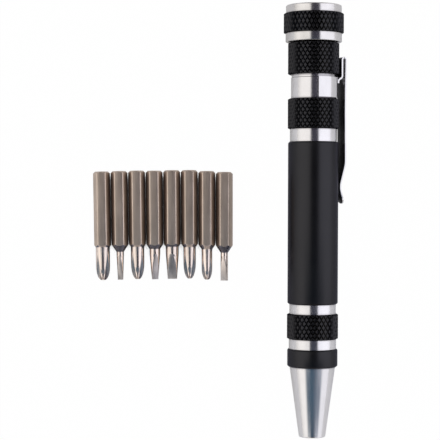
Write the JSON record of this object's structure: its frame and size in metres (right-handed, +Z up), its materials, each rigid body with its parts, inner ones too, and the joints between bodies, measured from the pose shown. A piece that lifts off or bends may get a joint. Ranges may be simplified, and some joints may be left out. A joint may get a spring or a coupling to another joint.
{
  "type": "pocket screwdriver with bits",
  "caption": "Pen-style pocket screwdriver with a turning cap, spring clip, screw-off bit storage and a row of loose hexagonal cross-head and slotted bits.",
  "frame": {"origin": "on the table, under the middle of the pen and the row of bits together", "axes": "+Y from the nose tip towards the cap, +X from the bits towards the pen's clip side, +Z up from the table"},
  "size_m": [0.066, 0.1116, 0.0156],
  "materials": {
    "bright_aluminium": "bright turned",
    "black_satin": "satin black anodised",
    "black_knurl": "black anodised, knurled",
    "clip_chrome": "polished",
    "washer_brass": "plain",
    "spring_steel": "plain",
    "socket_steel": "turned",
    "bit_steel": "satin nickel"
  },
  "bodies": {
    "barrel": {"main_tube": "bright_aluminium", "barrel_sleeve": "black_satin", "middle_knurled_ring": "black_knurl", "rear_knurled_ring": "black_knurl", "tail_plug": "bright_aluminium", "slip_washer": "washer_brass", "retaining_ring": "spring_steel", "clip_band": "clip_chrome"},
    "spring_arm": {"clip_arm": "clip_chrome"},
    "cap": {"end_cap": "bright_aluminium", "cap_knurled_ring": "black_knurl", "cap_disc": "bright_aluminium"},
    "nose_carrier": {"socket_magnet": "spring_steel"},
    "nose_section": {"nose_cone": "bright_aluminium", "front_plain_ring": "black_satin", "front_knurled_ring": "black_knurl", "bit_socket": "socket_steel"},
    "loose_cross_bit_large": {"cross_bit_large": "bit_steel"},
    "loose_slotted_bit_narrow": {"slotted_bit_narrow": "bit_steel"},
    "loose_cross_bit_medium": {"cross_bit_medium": "bit_steel"},
    "loose_slotted_bit_tapered": {"slotted_bit_tapered": "bit_steel"},
    "loose_slotted_bit_wide": {"slotted_bit_wide": "bit_steel"},
    "loose_cross_bit_sharp": {"cross_bit_sharp": "bit_steel"},
    "loose_cross_bit_small": {"cross_bit_small": "bit_steel"},
    "loose_slotted_bit_small": {"slotted_bit_small": "bit_steel"}
  },
  "joints": [
    {"name": "cap_swivel", "type": "hinge", "parent": "barrel", "child": "cap", "pos_m": [0.02433, 0.04622, 0.00771], "axis": [0, 0.9999, 0.0145], "continuous": true},
    {"name": "clip_flex", "type": "hinge", "parent": "barrel", "child": "spring_arm", "pos_m": [0.03149, 0.04188, 0.0049], "axis": [0.3584, -0.0136, 0.9335], "range_deg": [0, 5], "stiffness_Nm_per_rad": 0.6},
    {"name": "nose_advance", "type": "slide", "parent": "barrel", "child": "nose_carrier", "axis": [0, -0.9999, -0.0145], "range_m": [0, 0.006]},
    {"name": "nose_unscrew", "type": "hinge", "parent": "nose_carrier", "child": "nose_section", "pos_m": [0.02433, -0.02138, 0.00673], "axis": [0, -0.9999, -0.0145], "range_deg": [0, 2880]},
    {"name": "cross_bit_large_lift", "type": "slide", "parent": "barrel", "child": "loose_cross_bit_large", "axis": [0, 0, 1], "range_m": [0, 0.02]},
    {"name": "slotted_bit_narrow_lift", "type": "slide", "parent": "barrel", "child": "loose_slotted_bit_narrow", "axis": [0, 0, 1], "range_m": [0, 0.02]},
    {"name": "cross_bit_medium_lift", "type": "slide", "parent": "barrel", "child": "loose_cross_bit_medium", "axis": [0, 0, 1], "range_m": [0, 0.02]},
    {"name": "slotted_bit_tapered_lift", "type": "slide", "parent": "barrel", "child": "loose_slotted_bit_tapered", "axis": [0, 0, 1], "range_m": [0, 0.02]},
    {"name": "slotted_bit_wide_lift", "type": "slide", "parent": "barrel", "child": "loose_slotted_bit_wide", "axis": [0, 0, 1], "range_m": [0, 0.02]},
    {"name": "cross_bit_sharp_lift", "type": "slide", "parent": "barrel", "child": "loose_cross_bit_sharp", "axis": [0, 0, 1], "range_m": [0, 0.02]},
    {"name": "cross_bit_small_lift", "type": "slide", "parent": "barrel", "child": "loose_cross_bit_small", "axis": [0, 0, 1], "range_m": [0, 0.02]},
    {"name": "slotted_bit_small_lift", "type": "slide", "parent": "barrel", "child": "loose_slotted_bit_small", "axis": [0, 0, 1], "range_m": [0, 0.02]}
  ],
  "couplings": [
    {"joint": "nose_advance", "follows": "nose_unscrew", "m_per_rad": 0.00011937}
  ]
}
